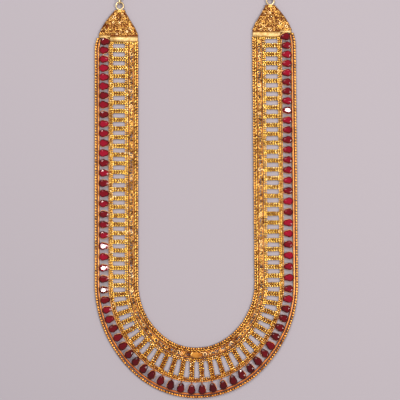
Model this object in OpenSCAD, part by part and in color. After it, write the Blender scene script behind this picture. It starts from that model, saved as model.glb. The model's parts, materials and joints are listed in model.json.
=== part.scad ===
// Long necklace lying flat: a wide U-shaped band of gold wirework set with pear-cut stones,
// an end plate with a ring at the top of each side, and a chain with a barrel clasp that
// closes the loop behind the neck. Everything rests on z = 0, and +Y runs from the bow at
// the bottom to the clasp.

/* [Band] */
// Half of the band's overall width, to the outside of the outer border
band_half_w = 66.3; // [64:0.1:70]
// Depth of the bow, below the level that its pieces fan out from
bow_depth = 70.6; // [68:0.1:72]
// Straight run on the left, from that level to the first stone
left_run = 161.2; // [145:0.1:175]
// Straight run on the right
right_run = 163.9; // [145:0.1:175]
// Lean of the right-hand run towards the neck, in degrees
right_lean = 0.55; // [0:0.05:1]

/* [Wires and borders] */
// Thickness of the outer border
outer_border_d = 1.95; // [1.7:0.05:2.1]
// Thickness of the inner border
inner_border_d = 2.4; // [2.1:0.05:2.5]
// Thickness of the rail outside the stones
outer_rail_d = 1.1; // [0.9:0.05:1.2]
// Thickness of the wire inside the stones
gallery_wire_d = 0.9; // [0.8:0.05:1]
// Thickness of the ladder's outer wire
ladder_outer_d = 1.1; // [1.05:0.05:1.2]
// Thickness of the ladder's inner wire
ladder_inner_d = 1.2; // [1.1:0.05:1.3]
// Thickness of the two lace wires
lace_d = 0.8; // [0.7:0.05:0.9]
// Clear gap between two neighbouring strips of the band
strip_gap = 0.1; // [0.08:0.01:0.15]

/* [Stones] */
// Length of a stone, across the band
stone_len = 5.65; // [5.2:0.05:5.8]
// Width of a stone, along the band
stone_w = 4.1; // [3.7:0.05:4.3]
// Height of the girdle above the surface that the band lies on
girdle_z = 2.35; // [2.3:0.05:2.6]
// Height of the crown above the girdle
crown_h = 0.75; // [0.5:0.05:1]
// Depth of the pavilion below the girdle
pavilion_h = 1.5; // [1.2:0.05:1.5]
// Stones on each straight side
side_stones = 25; // [22:1:27]
// Spaces between the stones round the bow
bow_stones = 29; // [25:1:30]
// Growth of the stones' spacing down a side
stone_growth = 0.0057; // [0:0.0001:0.007]

/* [Ladder and lace] */
// Rungs on each straight side
side_rungs = 28; // [22:1:30]
// Rungs round the bow
bow_rungs = 26; // [22:1:30]
// Beads on each rung
rung_beads = 3; // [1:1:4]
// Diameter of a rung's bead
rung_bead_d = 1.8; // [1.6:0.1:2]
// Lace buttons on each straight side
side_buttons = 28; // [20:1:32]
// Lace buttons round the bow
bow_buttons = 24; // [18:1:26]

/* [End plates] */
// Thickness of the plate
plate_t = 1.5; // [1.2:0.1:1.8]
// Height of the flat bar along the plate's lower edge
bar_t = 2.1; // [1.9:0.1:2.4]
// Diameter of a raised grain on the plate
grain_d = 2.7; // [2.2:0.1:2.8]
// Distance between neighbouring grains
grain_pitch = 2.9; // [2.85:0.05:3.4]
// Radius of the ring at the tip, to the middle of its wire
ring_r = 2.42; // [2.35:0.01:2.6]
// Thickness of the ring's wire
ring_d = 0.9; // [0.8:0.05:0.95]

/* [Chain and clasp] */
// Length of a link
link_len = 6.4; // [6.3:0.1:6.6]
// Width of a link
link_w = 4.4; // [4.4:0.1:4.6]
// Thickness of a link's wire
link_d = 1.0; // [0.9:0.05:1]
// Length of the clasp's barrel
barrel_len = 9; // [8:0.5:12]
// Radius of the clasp's barrel
barrel_r = 2.0; // [1.9:0.1:2.2]

/* [Hidden] */
$fn = 48;

GOLD = "#d9a13a";
PALE_GOLD = "#ecd68a";
RUBY = "#8c1030";

LEFT = -1;
RIGHT = 1;

// Rows across the band, from the outside in. Columns: distance from the outer edge at the
// sides, the same at the bottom of the bow, thickness.
SIDE = 0;
BOTTOM = 1;
THICK = 2;
outer_border_row = [outer_border_d / 2, outer_border_d / 2, outer_border_d];
outer_rail_row = [2.60, 2.60, outer_rail_d];
stone_row = [6.13, 6.60, 0];
gallery_row = [9.65, 10.75, gallery_wire_d];
ladder_outer_row = inward(gallery_row, ladder_outer_d);
ladder_inner_row = [21.50, 25.40, ladder_inner_d];
lace_outer_row = inward(ladder_inner_row, lace_d);
lace_inner_row = [25.45, 29.75, lace_d];
inner_border_row = inward(lace_inner_row, inner_border_d);

// The row of thickness d that lies one strip gap inside another row
function inward(row, d) = [
    for (i = [SIDE, BOTTOM]) row[i] + row[THICK] / 2 + strip_gap + d / 2,
    d
];

// A row of the bow is a wide flank arc on each side, which begins a little above the fan
// centre, and a tighter bottom arc between them. Both have their centres beyond or below the
// fan centre, which is the origin that the pieces are drawn about. Flanks are given for the
// right-hand side, and axis_point turns them to the bow's own axis, halfway between the runs.
flank_from = 4;
flank_r = 80;
flank_taper = 1.28;
half_lean = right_lean / 2;
function half_of(row) = band_half_w - row[SIDE];
function flank_r_of(row) = flank_r - flank_taper * row[SIDE];
function flank_centre(row) = [half_of(row) - flank_r_of(row), flank_from];
function axis_point(p) = [
    p[0] * cos(half_lean) - p[1] * sin(half_lean),
    p[0] * sin(half_lean) + p[1] * cos(half_lean)
];

// Depth of the bottom arc's centre below the fan centre, its radius, and the turn from the
// level to the joint of the two arcs, seen from the axis
function bottom_drop(row) = let(
        f = axis_point(flank_centre(row)),
        k = flank_r_of(row) - (bow_depth - row[BOTTOM])
    ) (f * f - k * k) / (2 * (k - f[1]));
function bottom_r(row) = bow_depth - row[BOTTOM] - bottom_drop(row);
function joint_turn(row) = let(f = axis_point(flank_centre(row)))
    atan2(bottom_drop(row) + f[1], -f[0]);

// Distance from the fan centre to a circle, and to a row, along the ray at angle a
function circle_ray(c, r, a) = let(along = c[0] * cos(a) + c[1] * sin(a))
    along + sqrt(r * r - c * c + along * along);
function ray_to(row, a) = let(
        b = a - half_lean,
        right = b < 270 ? 540 - b : b,
        turn = joint_turn(row),
        joint = [bottom_r(row) * cos(turn), -bottom_drop(row) - bottom_r(row) * sin(turn)]
    ) right > 360 + atan2(joint[1], joint[0])
    ? circle_ray(axis_point(flank_centre(row)), flank_r_of(row), right)
    : circle_ray([0, -bottom_drop(row)], bottom_r(row), right);

// A point beside a straight run: across is measured from the neck's centre line, and up
// from the top of the run.
function run_of(side) = side == LEFT ? left_run : right_run;
function side_point(side, across, up) = let(y = run_of(side) + up)
    side == LEFT ? [-across, y]
    : [across * cos(right_lean) - y * sin(right_lean), across * sin(right_lean) + y * cos(right_lean)];

neck_half = half_of(inner_border_row) - inner_border_d / 2;
bow_angle = 180 + right_lean;

// Outer rail and border bend in beside the end plate, about one shared centre
elbow_from = -6;
elbow_angle = 20;
elbow_r = 20.3;
elbow_x = half_of(outer_rail_row) - elbow_r;
sleeve_wall = 0.05;
sleeve_len = 1.2;
joint_gap = 0.1;

// Lower edge of the plate's bar, and where the wires stop: below the bar, and beside its end
bar_from = -0.65;
wire_stop = bar_from - joint_gap;
gallery_stop = 1.0;

// Pear outline: a round end and a point, joined by tangents
pear_r = stone_w / 2;
pear_point = stone_len - pear_r;
pear_tangent = 180 - acos(pear_r / pear_point);
pear_shift = (pear_point - pear_r) / 2;
pear_arcs = 8;
flank_bulge = 0.12;
table_scale = 0.56;
table_centre = [-0.35, 0];
first_stone_depth = 0.26;
first_stone_shift = 0.7;

// Collet under each stone
collet_wall = 0.35;
collet_floor = 0.75;
collet_from = 0.15;
collet_top = girdle_z - 0.4;
bearer_w = 0.8;
bearer_from = 0.05;
bearer_to = 0.65;

// Heights of the flat wires, and of the rungs and buttons between them
rail_h = 1.15;
gallery_h = 0.95;
lace_h = 0.85;
rung_w = 2.4;
rung_from = 0.1;
rung_to = 1.0;
button_overlap = 0.2;
button_from = 0.1;
button_to = 1.3;

// End plate, measured from the neck's edge of the band and up from the top of the run.
// Columns: height up the plate, distance of the flank from the neck's edge.
inner_flank = [[4.2, 0], [8.5, 1.9], [13.6, 5.1], [18.8, 8.1], [20.4, 8.5]];
outer_flank = [[4.2, 25.4], [8.5, 23.5], [12.5, 21.0], [16.5, 17.9], [20.4, 14.4]];
bar_h = 4.0;
bar_w = 18.0;
bar_lap = 1;
bar_tuck = 0.5;
thin_bar_from = 2.2;
thin_bar_to = 4.0;
grain_rows = 6;
grain_margin = 1.5;
first_grain = 5.2;
grain_row_pitch = 2.7;
grain_z = grain_d / 2 + 0.05;
ring_across = 11.75;
ring_up = 22.9;
ring_z = 1.75;
tongue_w = 3;
tongue_from = 19;
tongue_to = 20.9;
tongue_t = 2.0;

// Chain: a half circle between the two rings, met at the top by the clasp
link_play = 0.2;
hook_play = 0.3;
ring_top_left = side_point(LEFT, neck_half + ring_across, ring_up + ring_r);
ring_top_right = side_point(RIGHT, neck_half + ring_across, ring_up + ring_r);
chain_chord = ring_top_right - ring_top_left;
chain_centre = (ring_top_left + ring_top_right) / 2;
chain_r = norm(chain_chord) / 2;
chain_tilt = atan2(chain_chord[1], chain_chord[0]);
eye_r = 1.6;
eye_d = 1.0;
eye_at = barrel_len / 2 + 0.7;
link_hook = (link_len - link_d) / 2 - (link_d + eye_d) / 2 - hook_play;
chain_span = 90 * chain_r * PI / 180 - eye_at - eye_r - 2 * link_hook;
chain_steps = round(chain_span / (link_len - 2 * link_d - link_play));
link_step = chain_span / chain_steps;
link_roll = 45;
twist_links = 5;
eye_roll = chain_steps % 2 == 0 ? -link_roll : link_roll;

// The clasp is straight, so it lies in from the circle's top, with its ends on the circle
clasp_r = sqrt(pow(chain_r, 2) - pow(eye_at + eye_r, 2));

// The drawing is moved so that the middle of its length is at the origin
chain_top = chain_centre[1] + (clasp_r + barrel_r) * cos(chain_tilt)
    + barrel_len / 2 * abs(sin(chain_tilt));
length_shift = (bow_depth - chain_top) / 2;

module centred() {
    translate([0, length_shift, 0]) children();
}

// Frames at the fan centre and at the top of a straight run: +X away from the neck, +Y up
// the run
module half_frame(side) {
    if (side == LEFT)
        mirror([1, 0, 0]) children();
    else
        rotate([0, 0, right_lean]) children();
}

module side_frame(side) {
    half_frame(side) translate([0, run_of(side), 0]) children();
}

// Sweeps an outline, drawn with +X outwards, along a row's arcs
module bow_arcs(row) {
    turn = joint_turn(row);
    gap = joint_gap / flank_r_of(row) * 180 / PI;
    rotate([0, 0, half_lean]) translate([0, -bottom_drop(row), 0]) rotate([0, 0, 180 + turn])
        rotate_extrude(angle = 180 - 2 * turn) translate([bottom_r(row), 0]) children();
    for (side = [LEFT, RIGHT])
        flank_frame(row, side) rotate([0, 0, gap - turn - half_lean])
            rotate_extrude(angle = turn + half_lean - gap)
                translate([flank_r_of(row), 0]) children();
}

module flank_frame(row, side) {
    centre = flank_centre(row);
    half_frame(side) translate([centre[0], centre[1], 0]) children();
}

// Puts its children, drawn along Y, at the joints between a row's arcs and its runs
module row_joints(row) {
    for (side = [LEFT, RIGHT], turn = [0, joint_turn(row) + half_lean])
        flank_frame(row, side) rotate([0, 0, -turn]) translate([flank_r_of(row), 0, 0])
            children();
}

// Round wire that follows one row round the whole U, up to a height beside the end plates.
// A hair-thin sleeve closes each joint.
module round_wire(row, stop) {
    r = row[THICK] / 2;
    translate([0, 0, r + sleeve_wall]) {
        bow_arcs(row) circle(r = r);
        row_joints(row) round_sleeve(r);
        for (side = [LEFT, RIGHT])
            half_frame(side) translate([half_of(row), flank_from + joint_gap, 0])
                rotate([-90, 0, 0])
                    cylinder(r = r, h = run_of(side) + stop - flank_from - joint_gap);
    }
}

module round_sleeve(r) {
    rotate([90, 0, 0]) cylinder(r = r + sleeve_wall, h = sleeve_len, center = true);
}

// Bend at the top of a side's round wire, towards the end plate
module round_elbow(row) {
    r = row[THICK] / 2;
    bend = half_of(row) - elbow_x;
    translate([elbow_x, elbow_from, r + sleeve_wall]) {
        rotate_extrude(angle = elbow_angle) translate([bend, 0]) circle(r = r);
        translate([bend, 0, 0]) round_sleeve(r);
    }
}

// The same two for a flat wire of height h
module flat_wire(row, h, stop) {
    t = row[THICK];
    bow_arcs(row) translate([-t / 2, 0]) square([t, h]);
    row_joints(row) flat_sleeve(t, h);
    for (side = [LEFT, RIGHT])
        half_frame(side) translate([half_of(row) - t / 2, flank_from + joint_gap, 0])
            cube([t, run_of(side) + stop - flank_from - joint_gap, h]);
}

module flat_sleeve(t, h) {
    translate([-t / 2 - sleeve_wall, -sleeve_len / 2, 0])
        cube([t + 2 * sleeve_wall, sleeve_len, h + sleeve_wall]);
}

module flat_elbow(row, h) {
    t = row[THICK];
    bend = half_of(row) - elbow_x;
    translate([elbow_x, elbow_from, 0]) {
        rotate_extrude(angle = elbow_angle) translate([bend - t / 2, 0]) square([t, h]);
        translate([bend, 0, 0]) flat_sleeve(t, h);
    }
}

// Depth of stone k below the top of a run of the given length
function stone_depth(k, run) = first_stone_depth + (run - first_stone_depth)
    * (k + stone_growth * k * k) / (side_stones + stone_growth * side_stones * side_stones);

function stone_shift(k) = k == 0 ? first_stone_shift : 0;

// Puts its children at every stone of one straight side, with +X away from the neck
module side_stone_places(side) {
    for (k = [0:side_stones - 1])
        side_frame(side)
            translate([half_of(stone_row) - stone_shift(k), -stone_depth(k, run_of(side)), 0])
                children();
}

// Puts its children at stones first to last of the bow
module bow_stone_places(first, last) {
    for (k = [first:last]) {
        a = 180 + k * bow_angle / bow_stones;
        rotate([0, 0, a]) translate([ray_to(stone_row, a), 0, 0]) children();
    }
}

// Girdle points of a stone, anticlockwise from one tangent point, round the round end
pear_outline = [
    for (i = [0:pear_arcs])
        let(a = pear_tangent * (2 * i / pear_arcs - 1))
        [pear_r * cos(a), pear_r * sin(a)],
    flank_point(1),
    [-pear_point, 0],
    flank_point(-1)
];
function flank_point(way) = [
    (pear_r * cos(pear_tangent) - pear_point) / 2 - flank_bulge * cos(180 - pear_tangent),
    way * (pear_r * sin(pear_tangent) / 2 + flank_bulge * sin(pear_tangent))
];

// Pear outline drawn in towards its middle by the given factor
module pear(factor) {
    translate([pear_shift, 0]) polygon([
        for (p = pear_outline) table_centre + factor * (p - table_centre)
    ]);
}

// Cup that a stone sits in
module collet() {
    difference() {
        translate([0, 0, collet_from]) linear_extrude(collet_top - collet_from) pear(1);
        translate([0, 0, collet_floor])
            linear_extrude(collet_top) pear(1 - collet_wall / pear_r);
    }
}

// Flat bar under a collet, which joins the rail and the wire beside it
module bearer(from, to) {
    translate([from, -bearer_w / 2, bearer_from]) cube([to - from, bearer_w, bearer_to - bearer_from]);
}

module stone_gallery() {
    color(GOLD) centred() {
        flat_wire(outer_rail_row, rail_h, elbow_from - joint_gap);
        for (side = [LEFT, RIGHT])
            side_frame(side) flat_elbow(outer_rail_row, rail_h);
        flat_wire(gallery_row, gallery_h, gallery_stop);
        for (side = [LEFT, RIGHT]) {
            side_stone_places(side) collet();
            for (k = [0:side_stones - 1])
                side_frame(side) translate([0, -stone_depth(k, run_of(side)), 0])
                    bearer(half_of(gallery_row), half_of(outer_rail_row) - stone_shift(k));
        }
        bow_stone_places(0, bow_stones) collet();
        for (k = [0:bow_stones]) {
            a = 180 + k * bow_angle / bow_stones;
            rotate([0, 0, a]) bearer(ray_to(gallery_row, a), ray_to(outer_rail_row, a));
        }
    }
}

// Faceted stone: a table, a ring of crown facets and a ring of pavilion facets
module stone() {
    n = len(pear_outline);
    girdle = [for (p = pear_outline) [p[0], p[1], girdle_z]];
    table = [
        for (p = pear_outline)
            let(q = table_centre + table_scale * (p - table_centre))
            [q[0], q[1], girdle_z + crown_h]
    ];
    culet = [table_centre[0], table_centre[1], girdle_z - pavilion_h];
    translate([pear_shift, 0, 0]) polyhedron(
        points = concat(girdle, table, [culet]),
        faces = concat(
            [[for (i = [n - 1:-1:0]) n + i]],
            [for (i = [0:n - 1]) [i, n + i, n + (i + 1) % n, (i + 1) % n]],
            [for (i = [0:n - 1]) [2 * n, i, (i + 1) % n]]
        )
    );
}

module ruby_row_left() {
    color(RUBY) centred() {
        side_stone_places(LEFT) stone();
        bow_stone_places(0, floor(bow_stones / 2)) stone();
    }
}

module ruby_row_right() {
    color(RUBY) centred() {
        side_stone_places(RIGHT) stone();
        bow_stone_places(floor(bow_stones / 2) + 1, bow_stones) stone();
    }
}

// One rung between two distances from the fan centre or the neck's centre line
module rung(from, to) {
    translate([from, -rung_w / 2, rung_from]) cube([to - from, rung_w, rung_to - rung_from]);
    for (k = [1:rung_beads])
        translate([from + (to - from) * k / (rung_beads + 1), 0, rung_bead_d / 2])
            sphere(r = rung_bead_d / 2);
}

module rung_ladder() {
    color(PALE_GOLD) centred() {
        flat_wire(ladder_outer_row, rail_h, wire_stop);
        flat_wire(ladder_inner_row, rail_h, wire_stop);
        for (side = [LEFT, RIGHT], k = [1:side_rungs])
            side_frame(side) translate([0, -run_of(side) * k / (side_rungs + 0.5), 0])
                rung(half_of(ladder_inner_row), half_of(ladder_outer_row));
        for (k = [0:bow_rungs - 1]) {
            a = 180 + (k + 0.5) * bow_angle / bow_rungs;
            rotate([0, 0, a]) rung(ray_to(ladder_inner_row, a), ray_to(ladder_outer_row, a));
        }
    }
}

// Round button that bridges the two lace wires
module button(from, to) {
    translate([(from + to) / 2, 0, button_from])
        cylinder(r = (to - from - lace_d) / 2 + button_overlap, h = button_to - button_from);
}

module lace_strip() {
    color(GOLD) centred() {
        flat_wire(lace_outer_row, lace_h, wire_stop);
        flat_wire(lace_inner_row, lace_h, wire_stop);
        for (side = [LEFT, RIGHT], k = [1:side_buttons])
            side_frame(side) translate([0, -run_of(side) * k / (side_buttons + 0.5), 0])
                button(half_of(lace_inner_row), half_of(lace_outer_row));
        for (k = [0:bow_buttons - 1]) {
            a = 180 + (k + 0.5) * bow_angle / bow_buttons;
            rotate([0, 0, a]) button(ray_to(lace_inner_row, a), ray_to(lace_outer_row, a));
        }
    }
}

module outer_border() {
    color(GOLD) centred() {
        round_wire(outer_border_row, elbow_from - joint_gap);
        for (side = [LEFT, RIGHT])
            side_frame(side) round_elbow(outer_border_row);
    }
}

module inner_border() {
    color(GOLD) centred() round_wire(inner_border_row, wire_stop);
}

function swapped(table) = [for (p = table) [p[1], p[0]]];
function reversed(list) = [for (i = [len(list) - 1:-1:0]) list[i]];

// Pointed plate with rows of raised grains, a flat bar below and a soldered ring at the tip
module end_plate(side) {
    side_frame(side) translate([neck_half, 0, 0]) {
        plate_from = bar_from + bar_h - bar_tuck;
        linear_extrude(plate_t)
            polygon(concat(
                [[0, plate_from], [outer_flank[0][1], plate_from]],
                swapped(outer_flank), reversed(swapped(inner_flank))
            ));
        linear_extrude(bar_t) {
            translate([0, bar_from]) square([bar_w, bar_h]);
            translate([bar_w - bar_lap, thin_bar_from])
                square([outer_flank[0][1] - bar_w + bar_lap, thin_bar_to - thin_bar_from]);
        }
        for (j = [0:grain_rows - 1]) {
            y = first_grain + j * grain_row_pitch;
            from = lookup(y, inner_flank) + grain_margin;
            to = lookup(y, outer_flank) - grain_margin;
            n = floor((to - from) / grain_pitch);
            for (i = [0:n])
                translate([from + (to - from) * i / n, y, grain_z]) sphere(r = grain_d / 2);
        }
        translate([ring_across - tongue_w / 2, tongue_from, 0])
            cube([tongue_w, tongue_to - tongue_from, tongue_t]);
        translate([ring_across, ring_up, ring_z])
            rotate_extrude() translate([ring_r, 0]) circle(r = ring_d / 2);
    }
}

module end_plate_left() {
    color(GOLD) centred() end_plate(LEFT);
}

module end_plate_right() {
    color(GOLD) centred() end_plate(RIGHT);
}

// Oval link along X, lying flat
module link() {
    r = link_d / 2;
    bend = link_w / 2 - r;
    half = (link_len - link_w) / 2;
    for (end = [0, 180])
        rotate([0, 0, end]) {
            translate([half, 0, 0]) rotate([0, 0, -90])
                rotate_extrude(angle = 180) translate([bend, 0]) circle(r = r);
            translate([-half, bend, 0]) rotate([0, 90, 0]) cylinder(r = r, h = 2 * half);
        }
}

// Half of the chain, from the clasp to the ring of the end plate. The links are rolled by
// turns to either side, and turn upright as they come to the flat ring.
module half_chain() {
    for (k = [0:chain_steps]) {
        from_ring = chain_steps - k;
        twist = (90 - link_roll) * max(0, 1 - from_ring / twist_links);
        roll = (from_ring % 2 == 0 ? link_roll : -link_roll) + twist;
        z = link_d / 2 + (link_w - link_d) / 2 * sin(link_roll + twist);
        along = eye_at + eye_r + link_hook + k * link_step;
        rotate([0, 0, along / chain_r * 180 / PI])
            translate([0, chain_r, z]) rotate([roll, 0, 0]) link();
    }
}

module chain_frame() {
    translate([chain_centre[0], chain_centre[1], 0]) rotate([0, 0, chain_tilt]) children();
}

module back_chain_left() {
    color(PALE_GOLD) centred() chain_frame() half_chain();
}

module back_chain_right() {
    color(PALE_GOLD) centred() chain_frame() mirror([1, 0, 0]) half_chain();
}

// Plain barrel with an eye at each end
module barrel_clasp() {
    color(PALE_GOLD) centred() chain_frame() translate([0, clasp_r, barrel_r]) {
        rotate([0, 90, 0]) cylinder(r = barrel_r, h = barrel_len, center = true);
        for (end = [0, 1])
            mirror([end, 0, 0]) translate([-eye_at, 0, 0]) rotate([eye_roll, 0, 0])
                rotate_extrude() translate([eye_r, 0]) circle(r = eye_d / 2);
    }
}

outer_border();
stone_gallery();
rung_ladder();
lace_strip();
inner_border();
ruby_row_left();
ruby_row_right();
end_plate_left();
end_plate_right();
back_chain_left();
back_chain_right();
barrel_clasp();
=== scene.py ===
import json
import math
import random

import bmesh
import bpy
from mathutils import Matrix, Vector

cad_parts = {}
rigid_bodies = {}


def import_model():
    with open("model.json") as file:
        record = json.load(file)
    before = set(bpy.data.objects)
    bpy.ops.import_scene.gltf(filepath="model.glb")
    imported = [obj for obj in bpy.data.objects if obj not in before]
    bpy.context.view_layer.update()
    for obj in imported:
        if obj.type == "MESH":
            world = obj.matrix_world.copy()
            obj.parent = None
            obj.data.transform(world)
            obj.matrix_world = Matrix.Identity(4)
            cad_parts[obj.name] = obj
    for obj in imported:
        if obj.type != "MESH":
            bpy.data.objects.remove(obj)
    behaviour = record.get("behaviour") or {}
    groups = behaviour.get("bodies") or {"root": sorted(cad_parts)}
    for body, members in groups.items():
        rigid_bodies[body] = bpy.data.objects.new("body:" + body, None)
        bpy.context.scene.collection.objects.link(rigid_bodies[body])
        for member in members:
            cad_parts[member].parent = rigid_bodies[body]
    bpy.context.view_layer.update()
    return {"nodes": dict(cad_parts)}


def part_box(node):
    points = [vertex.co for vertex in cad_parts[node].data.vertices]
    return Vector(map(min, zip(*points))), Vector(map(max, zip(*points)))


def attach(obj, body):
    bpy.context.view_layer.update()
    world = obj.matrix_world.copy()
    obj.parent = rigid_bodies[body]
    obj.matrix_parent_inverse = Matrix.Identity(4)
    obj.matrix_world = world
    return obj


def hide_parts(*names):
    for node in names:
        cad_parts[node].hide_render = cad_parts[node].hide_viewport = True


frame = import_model()
mm = 0.001
print("stage: frame loaded,", len(frame["nodes"]), "nodes")


# The band's plan: two straight runs and a bow, with every row given by its distance in from
# the outer edge, first at the sides and then at the bottom of the bow
band = dict(
    halfWidth=66.3,
    bowDepth=70.6,  # below the level that the bow's pieces fan out from
    runs=dict(left=161.2, right=163.9), rightLean=math.radians(0.55),
    flankFrom=4.0,  # each side of the bow begins with a wide flank arc, above the fan centre
    flankRadius=80.0, flankTaper=1.28, arcSteps=40,
    elbowStart=-6, elbowRadius=20.3, elbowAngle=math.radians(20), elbowSteps=8,
    wireStop=-0.75,  # where the strips end, below the bar
    neckInset=1.2,  # from the inner border's row to the neck opening
)
rows = dict(
    outerBorder=(0.975, 0.975), outerRail=(2.60, 2.60), stones=(6.5, 6.05),
    galleryWire=(9.65, 10.75), ladderOuter=(10.75, 11.85), ladderInner=(21.50, 25.40),
    laceOuter=(22.60, 26.50), laceInner=(25.45, 29.75), innerBorder=(27.15, 31.45),
)
plateBottom = -0.65  # lower edge of the end plate's bar, from the top of the run
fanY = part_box("end_plate_left")[0].y / mm - plateBottom - band["runs"]["left"]
sides = ("left", "right")
bowTurn = math.pi + band["rightLean"]
halfLean = band["rightLean"] / 2  # the bow's own axis lies halfway between the two runs
neckEdge = band["halfWidth"] - rows["innerBorder"][0] - band["neckInset"]  # half of the neck opening


def halfOf(row):
    return band["halfWidth"] - row[0]


def inward(row, distance):
    return (row[0] + distance, row[1] + distance)


def spun(x, y, angle):
    return Vector((x * math.cos(angle) - y * math.sin(angle), x * math.sin(angle) + y * math.cos(angle)))


def bowAngle(k, count):
    # the direction of a place in the bow, from the left run to the right one
    return math.pi + k * bowTurn / count


def bowArcs(row):
    # centre and radius of a row's flank arc on the right and of its bottom arc, seen from the
    # bow's axis, and the turn from the level to their joint
    radius = band["flankRadius"] - band["flankTaper"] * row[0]
    flank = spun(halfOf(row) - radius, band["flankFrom"], halfLean)
    depth = band["bowDepth"] - row[1]
    excess = radius - depth
    drop = (flank.length_squared - excess**2) / (2 * (excess - flank.y))
    return flank, radius, Vector((0, -drop)), depth - drop, math.atan2(drop + flank.y, -flank.x)


def rayTo(row, angle):
    # distance from the fan centre to a row of the bow
    way = angle - halfLean
    if way < 1.5 * math.pi:
        way = 3 * math.pi - way
    flank, flankRadius, bottom, bottomRadius, turn = bowArcs(row)
    joint = bottom + spun(bottomRadius, 0, -turn)
    onFlank = way > 2 * math.pi + math.atan2(joint.y, joint.x)
    centre, radius = (flank, flankRadius) if onFlank else (bottom, bottomRadius)
    along = centre.dot(spun(1, 0, way))
    return along + math.sqrt(radius**2 - centre.length_squared + along**2)


def sidePoint(side, across, up, z=0.0):
    # across from the neck's centre line, up from the top of the run
    y = band["runs"][side] + up
    if side == "left":
        return Vector((-across, y + fanY, z))
    place = spun(across, y, band["rightLean"])
    return Vector((place.x, place.y + fanY, z))


def sideTurn(side):
    return math.pi if side == "left" else band["rightLean"]


def bowPoint(row, angle, z=0.0):
    ray = rayTo(row, angle)
    return Vector((ray * math.cos(angle), ray * math.sin(angle) + fanY, z))


def sideTop(row, top, elbow):
    # the upper end of a row on a straight run, from the top down
    half = halfOf(row)
    if not elbow:
        return [(half, top)]
    centre = halfOf(rows["outerRail"]) - band["elbowRadius"]
    bend = half - centre
    steps = band["elbowSteps"]
    angles = [band["elbowAngle"] * (1 - i / steps) for i in range(steps + 1)]
    return [(centre + bend * math.cos(a), band["elbowStart"] + bend * math.sin(a)) for a in angles]


def rowPath(row, z, top=band["wireStop"], elbow=False):
    # a row from the top of the left run round the bow to the top of the right one
    ends = sideTop(row, top, elbow)
    flank, flankRadius, bottom, bottomRadius, turn = bowArcs(row)
    shares = [i / band["arcSteps"] for i in range(band["arcSteps"] + 1)]
    right = [flank + spun(flankRadius, 0, halfLean - (turn + halfLean) * share) for share in shares]
    low = [bottom + spun(bottomRadius, 0, math.pi + turn + (math.pi - 2 * turn) * s) for s in shares[1:-1]]
    path = [sidePoint("left", across, up, z) for across, up in ends]
    for point in [Vector((-p.x, p.y)) for p in right] + low + right[::-1]:
        place = spun(point.x, point.y, halfLean)
        path.append(Vector((place.x, place.y + fanY, z)))
    return path + [sidePoint("right", across, up, z) for across, up in reversed(ends)]


# Scene plumbing: node trees, meshes and finished pieces
def setInputs(tree, node, inputs):
    # by name or place, to a value or to another node's output
    for key, value in inputs.items():
        if isinstance(key, int):
            socket = node.inputs[key]
        else:
            socket = next(s for s in node.inputs if s.name == key and s.enabled)
        if isinstance(value, bpy.types.NodeSocket):
            tree.links.new(value, socket)
        else:
            socket.default_value = value


def addNode(tree, kind, inputs=None, **settings):
    node = tree.nodes.new(kind)
    for name, value in settings.items():
        setattr(node, name, value)
    setInputs(tree, node, inputs or {})
    return node


def outputOf(tree, kind, inputs=None, **settings):
    # a new node's first output in use
    return next(s for s in addNode(tree, kind, inputs, **settings).outputs if s.enabled)


socketTypes = {float: "Float", int: "Int", bool: "Bool", tuple: "Color"}


def newTree(name, kind, inputs, outputs):
    # sockets by label, each with its default value or, where it has none, its type
    tree = bpy.data.node_groups.new(name, kind)
    for way, sockets in (("INPUT", inputs), ("OUTPUT", outputs)):
        for label, content in sockets.items():
            bare = isinstance(content, str)
            kindOf = content if bare else socketTypes[type(content)]
            socket = tree.interface.new_socket(label, in_out=way, socket_type=f"NodeSocket{kindOf}")
            if not bare:
                socket.default_value = content
    return tree, tree.nodes.new("NodeGroupInput").outputs, tree.nodes.new("NodeGroupOutput").inputs


def geo(tree, kind, inputs=None, **settings):
    return outputOf(tree, f"GeometryNode{kind}", inputs, **settings)


def math2(tree, operation, a, b):
    return outputOf(tree, "ShaderNodeMath", {0: a, 1: b}, operation=operation)


def vectorOf(tree, **parts):
    return outputOf(tree, "ShaderNodeCombineXYZ", {key.upper(): value for key, value in parts.items()})


def summed(tree, total, *others):
    for value in others:
        total = math2(tree, "ADD", total, value)
    return total


def mapped(tree, value, fromLow, fromHigh, toLow=0.0, toHigh=1.0, **settings):
    limits = {"Value": value, "From Min": fromLow, "From Max": fromHigh, "To Min": toLow, "To Max": toHigh}
    return outputOf(tree, "ShaderNodeMapRange", limits, **settings)


def randomFloat(tree, low, high, seed, salt):
    # the salt keeps a piece's draws apart
    limits = {"Min": low, "Max": high, "Seed": math2(tree, "ADD", seed, float(salt))}
    return outputOf(tree, "FunctionNodeRandomValue", limits, data_type="FLOAT")


lengthSettings = (
    "thickness", "step", "strand", "twistRadius", "twistPitch", "pitch", "placeSpread",
    "low", "high", "patchSize", "grainSize",
)


def socketValues(settings):
    # sizeSpread is the socket Size Spread, and lengths go from millimetres to metres
    values = {}
    for key, value in settings.items():
        label = "".join(" " + letter if letter.isupper() else letter for letter in key).title()
        values[label] = value * mm if key in lengthSettings else value
    return values


def linked(name, data):
    obj = bpy.data.objects.new(name, data)
    bpy.context.scene.collection.objects.link(obj)
    return obj


def pathObject(name, paths):
    mesh = bpy.data.meshes.new(name)
    points, edges = [], []
    for path in paths:
        start = len(points)
        points += [p * mm for p in path]
        edges += [(start + i, start + i + 1) for i in range(len(path) - 1)]
    mesh.from_pydata(points, edges, [])
    return linked(name, mesh)


def stationObject(name, stations):
    # stations are (point in millimetres, turn about the vertical)
    mesh = bpy.data.meshes.new(name)
    mesh.from_pydata([point * mm for point, turn in stations], [], [])
    turns = mesh.attributes.new("turn", "FLOAT", "POINT")
    turns.data.foreach_set("value", [turn for point, turn in stations])
    return linked(name, mesh)


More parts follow.
